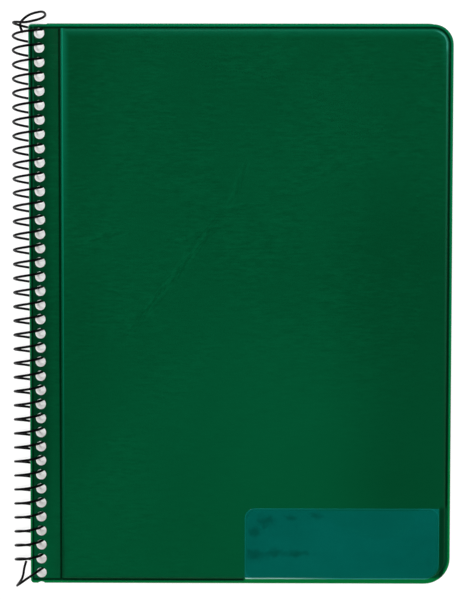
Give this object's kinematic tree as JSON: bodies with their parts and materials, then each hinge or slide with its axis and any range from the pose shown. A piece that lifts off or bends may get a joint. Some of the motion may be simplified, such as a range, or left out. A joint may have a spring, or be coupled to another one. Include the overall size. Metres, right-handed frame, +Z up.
{
  "type": "stamp album",
  "caption": "Coil-bound stamp album with padded grained vinyl covers, a clear label pocket and leaves with clear pocket strips, lying closed with its front cover up.",
  "frame": {"origin": "middle of the flat face that the album lies on, under its back cover", "axes": "+Z up from the table through the closed album, +X from the coil to the fore edge, +Y up the page"},
  "size_m": [0.1964, 0.2599, 0.0144],
  "materials": {
    "cover_vinyl": "fine leather grain, satin",
    "lining": "satin",
    "board": "plain greyboard",
    "leaf_sheet": "smooth card",
    "clear_film": "clear",
    "pocket_film": "clear, bluish",
    "wire": "black plastic coating"
  },
  "bodies": {
    "back_cover": {"back_cover_lining": "lining", "back_cover_board": "board", "back_cover_skin": "cover_vinyl", "binding_coil": "wire"},
    "leaf_8": {"leaf_8_sheet": "leaf_sheet", "leaf_8_front_strips": "clear_film", "leaf_8_back_strips": "clear_film"},
    "leaf_7": {"leaf_7_sheet": "leaf_sheet", "leaf_7_front_strips": "clear_film", "leaf_7_back_strips": "clear_film"},
    "leaf_6": {"leaf_6_sheet": "leaf_sheet", "leaf_6_front_strips": "clear_film", "leaf_6_back_strips": "clear_film"},
    "leaf_5": {"leaf_5_sheet": "leaf_sheet", "leaf_5_front_strips": "clear_film", "leaf_5_back_strips": "clear_film"},
    "leaf_4": {"leaf_4_sheet": "leaf_sheet", "leaf_4_front_strips": "clear_film", "leaf_4_back_strips": "clear_film"},
    "leaf_3": {"leaf_3_sheet": "leaf_sheet", "leaf_3_front_strips": "clear_film", "leaf_3_back_strips": "clear_film"},
    "leaf_2": {"leaf_2_sheet": "leaf_sheet", "leaf_2_front_strips": "clear_film", "leaf_2_back_strips": "clear_film"},
    "leaf_1": {"leaf_1_sheet": "leaf_sheet", "leaf_1_front_strips": "clear_film", "leaf_1_back_strips": "clear_film"},
    "front_cover": {"front_cover_skin": "cover_vinyl", "front_cover_board": "board", "front_cover_lining": "lining", "label_pocket": "pocket_film"}
  },
  "joints": [
    {"name": "leaf_8_turn", "type": "hinge", "parent": "back_cover", "child": "leaf_8", "pos_m": [-0.09508, 0, 0.007], "axis": [0, -1, 0], "range_deg": [0, 180]},
    {"name": "leaf_7_turn", "type": "hinge", "parent": "leaf_8", "child": "leaf_7", "pos_m": [-0.09508, 0, 0.007], "axis": [0, -1, 0], "range_deg": [0, 180]},
    {"name": "leaf_6_turn", "type": "hinge", "parent": "leaf_7", "child": "leaf_6", "pos_m": [-0.09508, 0, 0.007], "axis": [0, -1, 0], "range_deg": [0, 180]},
    {"name": "leaf_5_turn", "type": "hinge", "parent": "leaf_6", "child": "leaf_5", "pos_m": [-0.09508, 0, 0.007], "axis": [0, -1, 0], "range_deg": [0, 180]},
    {"name": "leaf_4_turn", "type": "hinge", "parent": "leaf_5", "child": "leaf_4", "pos_m": [-0.09508, 0, 0.007], "axis": [0, -1, 0], "range_deg": [0, 180]},
    {"name": "leaf_3_turn", "type": "hinge", "parent": "leaf_4", "child": "leaf_3", "pos_m": [-0.09508, 0, 0.007], "axis": [0, -1, 0], "range_deg": [0, 180]},
    {"name": "leaf_2_turn", "type": "hinge", "parent": "leaf_3", "child": "leaf_2", "pos_m": [-0.09508, 0, 0.007], "axis": [0, -1, 0], "range_deg": [0, 180]},
    {"name": "leaf_1_turn", "type": "hinge", "parent": "leaf_2", "child": "leaf_1", "pos_m": [-0.09508, 0, 0.007], "axis": [0, -1, 0], "range_deg": [0, 180]},
    {"name": "front_cover_turn", "type": "hinge", "parent": "leaf_1", "child": "front_cover", "pos_m": [-0.09508, 0, 0.007], "axis": [0, -1, 0], "range_deg": [0, 180]}
  ]
}
